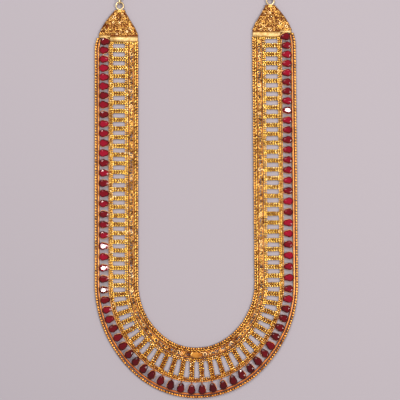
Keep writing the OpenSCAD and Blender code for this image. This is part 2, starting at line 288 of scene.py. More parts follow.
shelf = []  # collections of patterns that the trees copy, removed at the end


def patternBox(name, meshes):
    collection = bpy.data.collections.new(name)
    for i, mesh in enumerate(meshes):
        collection.objects.link(bpy.data.objects.new(f"{name}{i}", mesh))
    bpy.context.scene.collection.children.link(collection)
    shelf.append(collection)
    return collection


def settled(obj):
    # the evaluated result as a plain mesh, in an object of its own at the origin
    depsgraph = bpy.context.evaluated_depsgraph_get()
    mesh = bpy.data.meshes.new_from_object(obj.evaluated_get(depsgraph), depsgraph=depsgraph)
    name = obj.name
    bpy.data.objects.remove(obj)
    return linked(name, mesh)


def meshFrom(name, build, smooth=True):
    bm, weld = bmesh.new(), 1e-7
    build(bm)
    bmesh.ops.remove_doubles(bm, verts=bm.verts, dist=weld)
    bmesh.ops.recalc_face_normals(bm, faces=bm.faces)
    for face in bm.faces:
        face.smooth = smooth
    mesh = bpy.data.meshes.new(name)
    bm.to_mesh(mesh)
    bm.free()
    return mesh


def solidObject(name, build, material, smooth=True):
    mesh = meshFrom(name, build, smooth)
    mesh.materials.append(materials[material])
    return linked(name, mesh)


def finishPieces(slot, node, *pieces):
    for obj in pieces:
        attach(obj, "root")
        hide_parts(node)
        triangles = sum(len(p.vertices) - 2 for p in obj.data.polygons)
        print(f"piece: {obj.name}, {triangles} triangles")


# Geometry Nodes: a wire along a path, a rope of twisted strands, and pieces in rows or places
def evenCurve(tree, path, step):
    curve = geo(tree, "MeshToCurve", {"Mesh": path})
    return geo(tree, "ResampleCurve", {"Curve": curve, "Length": step}, mode="LENGTH")


def roundProfile(tree, width, around):
    radius = math2(tree, "MULTIPLY", width, 0.5)
    return geo(tree, "CurvePrimitiveCircle", {"Resolution": around, "Radius": radius})


def tubeAlong(tree, curve, profile):
    return geo(tree, "CurveToMesh", {"Curve": curve, "Profile Curve": profile, "Fill Caps": True})


def endTree(tree, geometry, source, result):
    real = geo(tree, "RealizeInstances", {"Geometry": geometry})
    paint = geo(tree, "SetMaterial", {"Geometry": real, "Material": source["Material"]})
    tree.links.new(paint, result[0])
    return tree


def shapeTree(name, inputs):
    inputs = {**inputs, "Material": "Material"}
    return newTree(name, "GeometryNodeTree", inputs, {"Shape": "Geometry"})


def wireTree():
    inputs = {"Path": "Geometry", "Thickness": 0.001, "Sides": 10, "Step": 0.002}
    tree, source, result = shapeTree("wire", inputs)
    curve = evenCurve(tree, source["Path"], source["Step"])
    tube = tubeAlong(tree, curve, roundProfile(tree, source["Thickness"], source["Sides"]))
    smooth = geo(tree, "SetShadeSmooth", {"Geometry": tube})
    return endTree(tree, smooth, source, result)


def ropeTree():
    strands, strandSides = 2, 6
    inputs = {
        "Path": "Geometry", "Strand": 0.0005, "Twist Radius": 0.00025, "Twist Pitch": 0.0015,
        "Step": 0.0003,
    }
    tree, source, result = shapeTree("rope", inputs)
    even = evenCurve(tree, source["Path"], source["Step"])
    outward = {"Vector": geo(tree, "InputNormal"), "Axis": geo(tree, "InputTangent")}
    spline = addNode(tree, "GeometryNodeSplineParameter")
    turns = math2(tree, "DIVIDE", spline.outputs["Length"], source["Twist Pitch"])
    profile = roundProfile(tree, source["Strand"], strandSides)
    tubes = addNode(tree, "GeometryNodeJoinGeometry")
    for strand in range(strands):
        angle = math2(tree, "MULTIPLY", math2(tree, "ADD", turns, strand / strands), 2 * math.pi)
        way = outputOf(tree, "ShaderNodeVectorRotate", {**outward, "Angle": angle})
        reach = {0: way, "Scale": source["Twist Radius"]}
        offset = outputOf(tree, "ShaderNodeVectorMath", reach, operation="SCALE")
        moved = geo(tree, "SetPosition", {"Geometry": even, "Offset": offset})
        tree.links.new(tubeAlong(tree, moved, profile), tubes.inputs[0])
    smooth = geo(tree, "SetShadeSmooth", {"Geometry": tubes.outputs[0]})
    return endTree(tree, smooth, source, result)


def piecesTree(alongPath):
    # pieces from a collection, in turn: evenly along a path, or at points that carry a turn
    inputs = {
        "Places": "Geometry", "Pieces": "Collection", "Pitch": 0.002, "Size": 1.0, "Size Spread": 0.0,
        "Turn Spread": 0.0, "Tilt Spread": 0.0, "Place Spread": 0.0, "Shuffle": False, "Seed": 1,
    }
    tree, source, result = shapeTree("piecesAlongPath" if alongPath else "piecesInPlaces", inputs)
    seed, mostOrders = source["Seed"], 1000.0

    def spread(label, salt):
        amount = source[label]
        return randomFloat(tree, math2(tree, "MULTIPLY", amount, -1.0), amount, seed, salt)

    if alongPath:
        points = evenCurve(tree, source["Places"], source["Pitch"])
        along = {"Vector": geo(tree, "InputTangent")}
        base = outputOf(tree, "FunctionNodeAlignRotationToVector", along, axis="X")
    else:
        points = source["Places"]
        turn = geo(tree, "InputNamedAttribute", {"Name": "turn"}, data_type="FLOAT")
        base = outputOf(tree, "FunctionNodeEulerToRotation", {0: vectorOf(tree, z=turn)})
    tilts = dict(x=spread("Tilt Spread", 1), y=spread("Tilt Spread", 2))
    lean = vectorOf(tree, **tilts, z=spread("Turn Spread", 3))
    turning = {"Rotation": base, "Rotate By": outputOf(tree, "FunctionNodeEulerToRotation", {0: lean})}
    turned = outputOf(tree, "FunctionNodeRotateRotation", turning, rotation_space="LOCAL")
    shift = vectorOf(tree, x=spread("Place Spread", 4), y=spread("Place Spread", 5))
    moved = geo(tree, "SetPosition", {"Geometry": points, "Offset": shift})
    wobble = math2(tree, "ADD", spread("Size Spread", 6), 1.0)
    size = math2(tree, "MULTIPLY", wobble, source["Size"])
    patterns = {"Collection": source["Pieces"], "Separate Children": True, "Reset Children": True}
    anyOrder = randomFloat(tree, 0.0, mostOrders, seed, 7)
    choice = {"Switch": source["Shuffle"], "False": geo(tree, "InputIndex"), "True": anyOrder}
    placing = {
        "Points": moved, "Instance": geo(tree, "CollectionInfo", patterns), "Pick Instance": True,
        "Instance Index": geo(tree, "Switch", choice, input_type="INT"),
        "Rotation": turned, "Scale": vectorOf(tree, x=size, y=size, z=size),
    }
    placed = geo(tree, "InstanceOnPoints", placing)
    tone = {"Geometry": placed, "Name": "tone", "Value": randomFloat(tree, 0.0, 1.0, seed, 8)}
    toned = geo(tree, "StoreNamedAttribute", tone, data_type="FLOAT", domain="INSTANCE")
    return endTree(tree, toned, source, result)


trees = dict(wire=wireTree(), rope=ropeTree(), rows=piecesTree(True), places=piecesTree(False))


def make(kind, name, places, material, **settings):
    # a piece from one of the trees, at stations or along paths, of beads unless settings name others
    obj = stationObject(name, places) if kind == "places" else pathObject(name, places)
    if kind in ("rows", "places"):
        settings = dict(pieces=beadBox) | settings
    tree = trees[kind]
    modifier = obj.modifiers.new(tree.name, "NODES")
    modifier.node_group = tree
    sockets = [item for item in tree.interface.items_tree if item.item_type == "SOCKET"]
    identifiers = {item.name: item.identifier for item in sockets if item.in_out == "INPUT"}
    for label, value in socketValues(dict(material=materials[material], **settings)).items():
        modifier[identifiers[label]] = value
    return settled(obj)


def makeGrains(strip, title, material, grains):
    # a row of grains beside each of a strip's two wires
    made = []
    for name, shift, seed in grains["rows"]:
        path = rowPath(inward(rows[strip + name], shift), grains["z"])
        made.append(make("rows", title.format(name), [path], material, seed=seed, **grains["look"]))
    return made


print("stage: trees built")


# Materials: a shared finish for every gold, whose colour carries painted shade, highlights and glints, and
# the stones' own
bowFade = (-0.140, -0.075)  # in metres up the picture, from the bow's painted shade to the plain tone
gold = dict(
    patchSwing=1.4, patchDetail=3.0, grainDetail=2.0,
    grainSwing=0.2,  # of the roughness
    deepRoughness=0.15, coatRoughness=0.22, bump=0.6,
    glintTones=(0.80, 0.95),  # some of the pieces get a painted glint on their crests
)


def objectPlace(tree):
    place = addNode(tree, "ShaderNodeTexCoord").outputs["Object"]
    return place, addNode(tree, "ShaderNodeSeparateXYZ", {0: place}).outputs


def attributeOf(tree, name):
    return addNode(tree, "ShaderNodeAttribute", attribute_name=name).outputs["Fac"]


def goldGroup():
    inputs = {
        "Light": (0.9, 0.6, 0.2, 1), "Deep": (0.4, 0.15, 0.02, 1), "Low": 0.0, "High": 0.001,
        "Tone Spread": 0.35, "Patch Size": 0.005, "Grain Size": 0.00035, "Roughness": 0.36,
        "Bow Shade": 0.25, "Bow Tint": (1.0, 0.84, 0.62, 1), "Specks": 0.0, "Speck Size": 0.0017,
        "Glint": 0.0, "Glint Color": (1.0, 0.88, 0.62, 1),
    }
    outputs = {"Color": "Color", "Roughness": "Float", "Height": "Float"}
    group, source, result = newTree("goldFinish", "ShaderNodeTree", inputs, outputs)
    place, axes = objectPlace(group)

    def noiseOf(size, detail):
        scale = math2(group, "DIVIDE", 1.0, size)
        return outputOf(group, "ShaderNodeTexNoise", {"Vector": place, "Scale": scale, "Detail": detail})

    def times(value, amount):
        return math2(group, "MULTIPLY", value, amount)

    def swing(value, amount):
        return times(math2(group, "SUBTRACT", value, 0.5), amount)

    def mixed(factor, a, b, **settings):
        inputs = {"Factor": factor, "A": a, "B": b}
        return outputOf(group, "ShaderNodeMix", inputs, data_type="RGBA", **settings)

    # painted shade and highlight: the deep colour in the low parts of each piece, the light colour on its
    # crest
    crest = mapped(group, axes["Z"], source["Low"], source["High"], interpolation_type="SMOOTHSTEP")
    # painted shade: the bow, low in the picture, darker, then multiplied by a warm tint
    low = mapped(group, axes["Y"], *bowFade, 1.0, 0.0)
    tone = attributeOf(group, "tone")
    patchTone = swing(noiseOf(source["Patch Size"], gold["patchDetail"]), gold["patchSwing"])
    pieceTone = swing(tone, source["Tone Spread"])
    speckTone = swing(noiseOf(source["Speck Size"], 0.0), source["Specks"])
    # the crest's painted shade and highlight, random tone from patches, pieces and specks, less the bow's
    # painted shade
    paintedShadeAndTone = summed(group, crest, patchTone, pieceTone, speckTone)
    paintedShadeAndTone = math2(group, "SUBTRACT", paintedShadeAndTone, times(low, source["Bow Shade"]))
    mix = outputOf(group, "ShaderNodeClamp", {"Value": paintedShadeAndTone})
    colour = mixed(mix, source["Deep"], source["Light"])
    bowShaded = mixed(low, colour, source["Bow Tint"], blend_type="MULTIPLY")
    # painted glint: a pale colour on the crests of a few pieces
    glint = times(times(mapped(group, tone, *gold["glintTones"]), crest), source["Glint"])
    grain = noiseOf(source["Grain Size"], gold["grainDetail"])
    deepRough = times(math2(group, "SUBTRACT", 1.0, mix), gold["deepRoughness"])
    rough = summed(group, source["Roughness"], swing(grain, gold["grainSwing"]), deepRough)
    group.links.new(mixed(glint, bowShaded, source["Glint Color"]), result["Color"])
    group.links.new(rough, result["Roughness"])
    group.links.new(grain, result["Height"])
    return group


goldFinish = goldGroup()


def newMaterial(name):
    material = bpy.data.materials.new(name)
    material.use_nodes = True
    return material, material.node_tree, material.node_tree.nodes["Principled BSDF"]


def goldMaterial(name, light, deep, low, high, dent=0.03, coat=0.25, metallic=1.0, **settings):
    material, tree, shader = newMaterial(name)
    # the shared finish, with painted shade and highlights in its colour
    finishWithPaintedLight = addNode(tree, "ShaderNodeGroup", node_tree=goldFinish)
    look = dict(light=(*light, 1), deep=(*deep, 1), low=low, high=high, **settings)
    setInputs(tree, finishWithPaintedLight, socketValues(look))
    dents = {"Height": finishWithPaintedLight.outputs["Height"], "Distance": dent * mm, "Strength": gold["bump"]}
    surface = {
        "Base Color": finishWithPaintedLight.outputs["Color"], "Roughness": finishWithPaintedLight.outputs["Roughness"],
        "Normal": outputOf(tree, "ShaderNodeBump", dents), "Metallic": metallic,
        "Coat Weight": coat, "Coat Roughness": gold["coatRoughness"],
    }
    setInputs(tree, shader, surface)
    return material


def rubyMaterial():
    ruby = dict(
        rise=(2.72, 3.36),
        shares=dict(tone=0.24, facet=0.30, rise=0.46),
        bowShade=-0.33,
        stops=((0.2, (0.045, 0.0, 0.0005)), (0.55, (0.15, 0.0, 0.003)), (1.0, (0.50, 0.003, 0.036))),
        surface={"Roughness": 0.04, "IOR": 1.34, "Transmission Weight": 0.3},
    )
    material, tree, shader = newMaterial("rubyStone")
    axes = objectPlace(tree)[1]
    lowZ, highZ = ruby["rise"]
    sources = dict(tone=attributeOf(tree, "tone"), facet=attributeOf(tree, "facet"))
    # rise: the colour lighter towards the table and darkest at the girdle, painted shade at the rims
    sources["rise"] = mapped(tree, axes["Z"], lowZ * mm, highZ * mm)
    # the stone's random tone, the facets' painted reflections and the rise's painted rim shade, summed with
    # the bow's painted shade
    parts = [math2(tree, "MULTIPLY", sources[key], share) for key, share in ruby["shares"].items()]
    # painted shade: the stones in the bow darker
    shade = mapped(tree, axes["Y"], *bowFade, ruby["bowShade"], 0.0)
    ramp = addNode(tree, "ShaderNodeValToRGB", {"Fac": summed(tree, *parts, shade)})
    elements = ramp.color_ramp.elements
    while len(elements) < len(ruby["stops"]):
        elements.new(0.5)
    for element, (position, colour) in zip(elements, ruby["stops"]):
        element.position = position
        element.color = (*colour, 1)
    setInputs(tree, shader, {"Base Color": ramp.outputs[0], **ruby["surface"]})
    return material


# light colour, painted on the crests as highlight, deep colour, painted in the low parts as shade,
# the heights between which the light one takes over, and what is not as in the plain finish
golds = dict(
    border=((0.90, 0.46, 0.105), (0.17, 0.04, 0.002), 1.15, 1.7, dict(bowShade=0.35, specks=2.0)),
    rail=((0.66, 0.27, 0.066), (0.26, 0.05, 0.004), 0.7, 1.35, dict(bowShade=0.45, metallic=0.7)),
    setting=((0.86, 0.40, 0.15), (0.50, 0.15, 0.03), 0.3, 1.8, dict(bowShade=0.4, metallic=0.5)),
    gallery=((0.92, 0.52, 0.16), (0.34, 0.09, 0.006), 0.55, 1.15, dict(toneSpread=0.6, metallic=0.8)),
    rung=((1.0, 0.67, 0.14), (0.29, 0.09, 0.005), 1.16, 1.6,
        dict(toneSpread=0.7, bowShade=0.45, glint=0.5, specks=1.5)),
    ladderEdge=((1.0, 0.59, 0.12), (0.29, 0.09, 0.005), 0.78, 1.32,
        dict(toneSpread=0.6, bowShade=0.5, glint=0.3, specks=1.5)),
    lace=((1.0, 0.56, 0.135), (0.13, 0.03, 0.001), 1.23, 1.71,
        dict(toneSpread=0.9, bowShade=0.1, glint=0.55, specks=1.5)),
    # the lace's wires and grains in a darker gold than the work over them: painted shade between the pieces
    laceGround=((0.82, 0.37, 0.09), (0.16, 0.035, 0.002), 0.5, 1.05, dict(toneSpread=0.8, bowShade=0.1)),
    inner=((1.0, 0.60, 0.145), (0.22, 0.06, 0.003), 0.86, 1.46, dict(roughness=0.42, coat=0.1, specks=2.0)),
    boss=((0.52, 0.28, 0.07), (0.24, 0.06, 0.003), 0.5, 1.3, dict(roughness=0.5, coat=0.0)),
    plate=((1.0, 0.56, 0.135), (0.15, 0.03, 0.002), 1.35, 1.9, dict(toneSpread=0.8, glint=0.6)),
    bar=((0.90, 0.72, 0.38), (0.42, 0.22, 0.05), 1.0, 3.0,
        dict(roughness=0.5, patchSize=1.3, dent=0.1, coat=0.0)),
    chain=((0.78, 0.60, 0.31), (0.34, 0.20, 0.06), 0.0, 2.5, {}),
)
materials = {name: goldMaterial(f"{name}Gold", *look, **own) for name, (*look, own) in golds.items()}
materials["ruby"] = rubyMaterial()
print("stage: materials made")


# Small patterns, in metres, from points in millimetres
def addVerts(bm, points):
    return [bm.verts.new(Vector(point) * mm) for point in points]


def addLoft(bm, loops, closed=False):
    # a skin from loop to loop of vertices, with a cap at each end or closed to a ring
    count = len(loops[0])
    for a, b in zip(loops, loops[1:] + loops[:1] if closed else loops[1:]):
        for i in range(count):
            k = (i + 1) % count
            bm.faces.new((a[i], a[k], b[k], b[i]))
    if not closed:
        bm.faces.new(loops[0])
        bm.faces.new(loops[-1])


def addBall(bm, z, radius):
    place = Matrix.Translation(Vector((0, 0, z)) * mm)
    bmesh.ops.create_icosphere(bm, subdivisions=1, radius=radius * mm, matrix=place)


def turnsRound(count):
    return [2 * math.pi * i / count for i in range(count)]


def addTube(bm, points, radius, around, closed=False):
    count, upright = len(points), 0.01
    rings = []
    for i, point in enumerate(points):
        before = points[i - 1] if closed or i else point
        after = points[(i + 1) % count] if closed or i < count - 1 else point
        along = (Vector(after) - Vector(before)).normalized()
        side = along.cross(Vector((0, 0, 1)))
        if side.length < upright:
            side = Vector((1, 0, 0))
        side.normalize()
        up = side.cross(along)
        offsets = [side * math.cos(a) + up * math.sin(a) for a in turnsRound(around)]
        rings.append(addVerts(bm, [Vector(point) + offset * radius for offset in offsets]))
    addLoft(bm, rings, closed)


def arcPoints(radius, z, count, start=0.0, sweep=2 * math.pi, centre=(0, 0)):
    # a full turn ends one step before its start
    steps = count if sweep == 2 * math.pi else count - 1
    angles = [start + sweep * i / steps for i in range(count)]
    return [(centre[0] + radius * math.cos(a), centre[1] + radius * math.sin(a), z) for a in angles]


def beadMesh():
    bead = dict(radius=0.5, around=8, bands=5)

    def build(bm):
        counts = dict(u_segments=bead["around"], v_segments=bead["bands"])
        bmesh.ops.create_uvsphere(bm, radius=bead["radius"] * mm, **counts)

    return meshFrom("bead", build)


def floretMesh(petals):
    # rings of (petal reach, notch reach, height) from the underside to the dimple, round a bead
    floret = dict(
        rings=((0.80, 0.55, -0.55), (1.15, 0.72, -0.05), (0.92, 0.50, 0.42), (0.48, 0.42, 0.08)),
        bead=0.30, beadZ=0.22,
    )

    def build(bm):
        angles = [math.pi * i / petals for i in range(petals * 2)]
        loops = []
        for petal, notch, z in floret["rings"]:
            spots = zip((petal, notch) * petals, angles)
            loops.append(addVerts(bm, [(r * math.cos(a), r * math.sin(a), z) for r, a in spots]))
        addLoft(bm, loops)
        addBall(bm, floret["beadZ"], floret["bead"])

    return meshFrom(f"floret{petals}", build)


def ringletMesh():
    ringlet = dict(radius=0.80, z=0.1, steps=10, wire=0.27, sides=5, grain=0.30)

    def build(bm):
        ring = arcPoints(ringlet["radius"], ringlet["z"], ringlet["steps"])
        addTube(bm, ring, ringlet["wire"], ringlet["sides"], closed=True)
        addBall(bm, 0, ringlet["grain"])

    return meshFrom("ringlet", build)


def scrollMesh():
    scroll = dict(radius=0.60, z=0.1, steps=6, sweep=math.radians(-270), wire=0.27, sides=5)

    def build(bm):
        r = scroll["radius"]
        first, second = (
            arcPoints(r, scroll["z"], scroll["steps"], math.radians(start), scroll["sweep"], (x, 0))
            for start, x in ((90, -r), (180, r))
        )
        addTube(bm, first[:0:-1] + second, scroll["wire"], scroll["sides"])

    return meshFrom("scroll", build)


beadBox = patternBox("beadPattern", [beadMesh()])
laceBox = patternBox("lacePattern", [floretMesh(6), scrollMesh(), ringletMesh(), scrollMesh()])
plateBox = patternBox("platePattern", [floretMesh(6), ringletMesh(), floretMesh(5), scrollMesh()])
print("stage: patterns made")


# Outer border: round beads side by side on a thin wire
def makeOuterBorder():
    border = dict(z=1.02, core=dict(thickness=0.9, sides=6))
    border["beads"] = dict(size=1.9, pitch=1.76, sizeSpread=0.05, seed=3)
    path = rowPath(rows["outerBorder"], border["z"], elbow=True)
    beads = make("rows", "outerBorderBeads", [path], "border", **border["beads"])
    core = make("wire", "outerBorderWire", [path], "border", **border["core"])
    finishPieces("border_gold", "outer_border", beads, core)


# Inner border: a twisted rope, and a row of smaller beads on the side of the neck
def makeInnerBorder():
    border = dict(
        rope=dict(strand=0.86, twistRadius=0.34, twistPitch=4.4), ropeIn=-0.5, ropeZ=0.78,
        beads=dict(size=1.7, pitch=1.62, sizeSpread=0.08, seed=5), beadIn=0.85, beadZ=0.95,
    )
    ropePath = rowPath(inward(rows["innerBorder"], border["ropeIn"]), border["ropeZ"])
    beadPath = rowPath(inward(rows["innerBorder"], border["beadIn"]), border["beadZ"])
    rail = make("rope", "innerBorderRope", [ropePath], "inner", **border["rope"])
    beads = make("rows", "innerBorderBeads", [beadPath], "border", **border["beads"])
    finishPieces("border_gold", "inner_border", rail, beads)


# Stones: a pear cut with a table, stars, kites and a two-step pavilion
stones = dict(
    side=25,  # stones on each straight side
    bow=29,  # spaces between the stones of the bow
    growth=0.0057,  # of the spaces down the sides
    firstDepth=0.26, firstShift=0.7,
    length=6.05, width=4.5, bulge=0.6, around=16,
    middle=0.35,  # of the table and the pavilion, towards the round end
    girdleZ=2.35, girdle=0.10, crown=0.75, tableScale=0.56, breakScale=0.83,
    breakHeight=0.62,  # share of the crown
    pavilion=1.5, lowerScale=0.55,
    lowerDepth=0.62,  # share of the pavilion
    look=dict(size=1.1, turnSpread=0.10, tiltSpread=0.06, sizeSpread=0.02, placeSpread=0.07),
    facetSeed=7, seeds=(200, 108),
)


def pearPoint(turn):
    # girdle point at a share of the way round from the point, with the origin mid-length
    r = stones["width"] / 2
    tip = stones["length"] - r
    shift = (tip - r) / 2
    tangent = math.pi - math.acos(r / tip)
    flank = math.sqrt(tip**2 - r**2)
    arc = 2 * r * tangent
    along = (turn % 1.0) * (arc + 2 * flank)
    if along < flank or along > flank + arc:
        way = -1 if along < flank else 1
        t = (along if way < 0 else arc + 2 * flank - along) / flank
        x = -tip + (tip + r * math.cos(tangent)) * t
        y = way * r * math.sin(tangent) * t
        out = 4 * stones["bulge"] * t * (1 - t)
        x -= out * math.cos(math.pi - tangent)
        y += way * out * math.sin(tangent)
    else:
        a = -tangent + (along - flank) / r
        x, y = r * math.cos(a), r * math.sin(a)
    return Vector((x + shift, y, 0))


def stoneMesh():
    around = stones["around"]
    centre = Vector((stones["middle"], 0, 0))
    girdleZ = stones["girdleZ"]
    top, bottom = girdleZ + stones["girdle"] / 2, girdleZ - stones["girdle"] / 2
    crest = girdleZ + stones["crown"]
    even, odd = range(0, around, 2), range(1, around, 2)

    def build(bm):
        def ring(scale, z, indices):
            spots = [centre + (pearPoint(i / around) - centre) * scale for i in indices]
            return addVerts(bm, [spot + Vector((0, 0, z)) for spot in spots])

        table = ring(stones["tableScale"], crest, even)
        stars = ring(stones["breakScale"], top + (crest - top) * stones["breakHeight"], odd)
        upper = ring(1, top, range(around))
        lower = ring(1, bottom, range(around))
        belly = ring(stones["lowerScale"], bottom - stones["pavilion"] * stones["lowerDepth"], odd)
        culet = addVerts(bm, [centre + Vector((0, 0, girdleZ - stones["pavilion"]))])[0]
        faces = [table]
        for j in range(around // 2):
            k = (j + 1) % (around // 2)
            a, b, c = 2 * j, 2 * j + 1, (2 * j + 2) % around
            faces += [
                (table[j], table[k], stars[j]), (table[k], stars[j], upper[c]),
                (table[k], stars[k], upper[c]),
                (stars[j], upper[a], upper[b]), (stars[j], upper[b], upper[c]),
                (belly[j], lower[a], lower[b]), (belly[j], lower[b], lower[c]),
                (culet, belly[j], lower[c]), (culet, belly[k], lower[c]),
            ]
        for i in range(around):
            k = (i + 1) % around
            faces.append((upper[i], upper[k], lower[k], lower[i]))
        for face in faces:
            bm.faces.new(face)

    mesh = meshFrom("pearStone", build, smooth=False)
    # a random brightness for each facet, taken up by the ruby's colour: painted reflections
    shuffle = random.Random(stones["facetSeed"])
    facets = mesh.attributes.new("facet", "FLOAT", "FACE")
    facets.data.foreach_set("value", [shuffle.random() for face in mesh.polygons])
    return mesh


def stoneSpot(side, row, k, z=0.0):
    # the place of a straight side's stone in a row; the first one is set further in
    across = halfOf(rows[row]) - (stones["firstShift"] if k == 0 and row != "galleryWire" else 0)
    first, last = stones["firstDepth"], stones["side"]
    share = (k + stones["growth"] * k * k) / (last + stones["growth"] * last * last)
    depth = first + (band["runs"][side] - first) * share
    return sidePoint(side, across, -depth, z)


def stoneStations():
    left, right = [], []
    for k in range(stones["side"]):
        for side, places in zip(sides, (left, right)):
            places.append((stoneSpot(side, "stones", k), sideTurn(side)))
    for k in range(stones["bow"] + 1):
        angle = bowAngle(k, stones["bow"])
        places = left if k <= stones["bow"] // 2 else right
        places.append((bowPoint(rows["stones"], angle), angle))
    return left, right


def makeStones():
    box = patternBox("stonePattern", [stoneMesh()])
    for side, stations, seed in zip(sides, stoneStations(), stones["seeds"]):
        look = dict(pieces=box, seed=seed, **stones["look"])
        piece = make("places", f"rubies{side.title()}", stations, "ruby", **look)
        finishPieces("ruby", f"ruby_row_{side}", piece)


# Settings: two wires that follow the stone's outline, posts between them, and claws over the girdle
def settingMesh():
    # wires and claws go by (share of the stone's outline, height)
    setting = dict(
        wires=((0.74, 0.42), (1.04, 1.85)), wire=0.22, outlineSteps=20, sides=5,
        posts=(0.17, 0.39, 0.61, 0.83), post=0.17,
        claw=((0.74, 0.22), (1.04, 1.85), (1.05, 2.35), (1.02, 2.60), (0.86, 2.72)),
    )

    def build(bm):
        outline = [pearPoint(i / setting["outlineSteps"]) for i in range(setting["outlineSteps"])]
        for scale, z in setting["wires"]:
            points = [spot * scale + Vector((0, 0, z)) for spot in outline]
            addTube(bm, points, setting["wire"], setting["sides"], closed=True)
        for share in setting["posts"]:
            points = [pearPoint(share) * scale + Vector((0, 0, z)) for scale, z in setting["claw"]]
            addTube(bm, points, setting["post"], setting["sides"])

    return meshFrom("setting", build)


def makeGallery():
    gallery = dict(
        seed=21, rail=dict(thickness=1.45), railOut=0.12, railZ=0.75, wire=dict(thickness=0.7), wireZ=0.45,
        beads=dict(size=1.05, pitch=1.1, sizeSpread=0.12, placeSpread=0.05, seed=22), beadZ=0.75,
        top=1.0,  # the wire and its beads run up beside the bar
        bearer=dict(thickness=0.75, sides=8), bearerZ=0.4,
    )
    left, right = stoneStations()
    box = patternBox("settingPattern", [settingMesh()])
    settings = make("places", "stoneSettings", left + right, "setting", pieces=box, seed=gallery["seed"])
    railPath = rowPath(inward(rows["outerRail"], gallery["railOut"]), gallery["railZ"], elbow=True)
    row, top = rows["galleryWire"], gallery["top"]
    wirePath, beadPath = rowPath(row, gallery["wireZ"], top), rowPath(row, gallery["beadZ"], top)
    rail = make("wire", "outerRail", [railPath], "rail", **gallery["rail"])
    inner = make("wire", "galleryWire", [wirePath], "gallery", **gallery["wire"])
    beads = make("rows", "galleryBeads", [beadPath], "gallery", **gallery["beads"])
    ends = ("galleryWire", "outerRail")
    bearers = []
    for side in sides:
        for k in range(stones["side"]):
            bearers.append([stoneSpot(side, row, k, gallery["bearerZ"]) for row in ends])
    for k in range(stones["bow"] + 1):
        angle = bowAngle(k, stones["bow"])
        bearers.append([bowPoint(rows[row], angle, gallery["bearerZ"]) for row in ends])
    bars = make("wire", "stoneBearers", bearers, "rail", **gallery["bearer"])
    finishPieces("rail_gold", "stone_gallery", rail, inner, beads, bars, settings)


# Ladder: a rope outside, beads inside, and rungs of three rows of beads on two strips
rungs = dict(
    side=28, bow=26, z=0.95, spacing=0.98, bowSpacing=1.1,
    beads=dict(size=1.36, pitch=1.45, sizeSpread=0.14, placeSpread=0.07, seed=33),
    middle=dict(size=1.2, pitch=1.45, sizeSpread=0.14, placeSpread=0.1, seed=34),
    strip=dict(thickness=1.1, sides=8), stripZ=0.55,
    stripWay=0.65,  # share of the way to the outer rows of beads
)


def rungSpans(way, z):
    # lines across the ladder, in the row of beads that way names: -1, 0 for the middle, or 1
    stagger = 0 if way else rungs["middle"]["pitch"] / 2
    ends = inward(rows["ladderInner"], -stagger), rows["ladderOuter"]
    spans = []
    for side in sides:
        run = band["runs"][side]
        for k in range(1, rungs["side"] + 1):
            up = -run * k / (rungs["side"] + 0.5) + way * rungs["spacing"]
            spans.append([sidePoint(side, halfOf(row), up, z) for row in ends])
    for k in range(rungs["bow"]):
        angle = bowAngle(k + 0.5, rungs["bow"])
        sideways = Vector((-math.sin(angle), math.cos(angle), 0)) * way * rungs["bowSpacing"]
        spans.append([bowPoint(row, angle, z) + sideways for row in ends])
    return spans


def makeLadder():
    ladder = dict(
        z=0.72,
        outer=dict(strand=0.68, twistRadius=0.30, twistPitch=3.4),
        inner=dict(size=1.3, pitch=1.28, sizeSpread=0.08, seed=31),
        grains=dict(
            look=dict(size=1.2, pitch=1.4, sizeSpread=0.12, placeSpread=0.06), z=0.95,
            rows=(("Inner", -1.15, 32), ("Outer", 1.0, 35)),  # name, distance in, seed
        ),
    )
    outerPath, innerPath = (rowPath(rows[name], ladder["z"]) for name in ("ladderOuter", "ladderInner"))
    outer = make("rope", "ladderOuterRope", [outerPath], "ladderEdge", **ladder["outer"])
    inner = make("rows", "ladderInnerBeads", [innerPath], "ladderEdge", **ladder["inner"])
    grains = makeGrains("ladder", "ladder{}Grains", "ladderEdge", ladder["grains"])
    way, z = rungs["stripWay"], rungs["z"]
    stripSpans = rungSpans(-way, rungs["stripZ"]) + rungSpans(way, rungs["stripZ"])
    strips = make("wire", "rungStrips", stripSpans, "rung", **rungs["strip"])
    beads = make("rows", "rungBeads", rungSpans(1, z) + rungSpans(-1, z), "rung", **rungs["beads"])
    middle = make("rows", "rungMiddleBeads", rungSpans(0, z), "rung", **rungs["middle"])
    finishPieces("rung_gold", "rung_ladder", outer, inner, *grains, strips, beads, middle)


# Lace: two fine wires with florets, scrolls and ringlets between them
def makeLace():
    lace = dict(
        wire=dict(thickness=0.8, sides=8), wireZ=0.55,
        work=dict(
            size=1.38, pitch=2.6, sizeSpread=0.16, turnSpread=1.2, placeSpread=0.3, tiltSpread=0.15,
            shuffle=True, seed=41,
        ),
        workZ=1.06,
        grains=dict(
            look=dict(size=0.95, pitch=1.1, sizeSpread=0.15, placeSpread=0.08), z=0.6,
            rows=(("Outer", 0.6, 42), ("Inner", -0.6, 43)),  # name, distance in, seed
        ),
    )
    wires = []
    for name in ("Outer", "Inner"):
        path = rowPath(rows[f"lace{name}"], lace["wireZ"])
        wires.append(make("wire", f"laceWire{name}", [path], "laceGround", **lace["wire"]))
    middle = tuple((a + b) / 2 for a, b in zip(rows["laceOuter"], rows["laceInner"]))
    workPath = rowPath(middle, lace["workZ"])
    work = make("rows", "laceWork", [workPath], "lace", pieces=laceBox, **lace["work"])
    grains = makeGrains("lace", "laceGrains{}", "laceGround", lace["grains"])
    finishPieces("lace_gold", "lace_strip", *wires, work, *grains)
    makeBosses(middle)


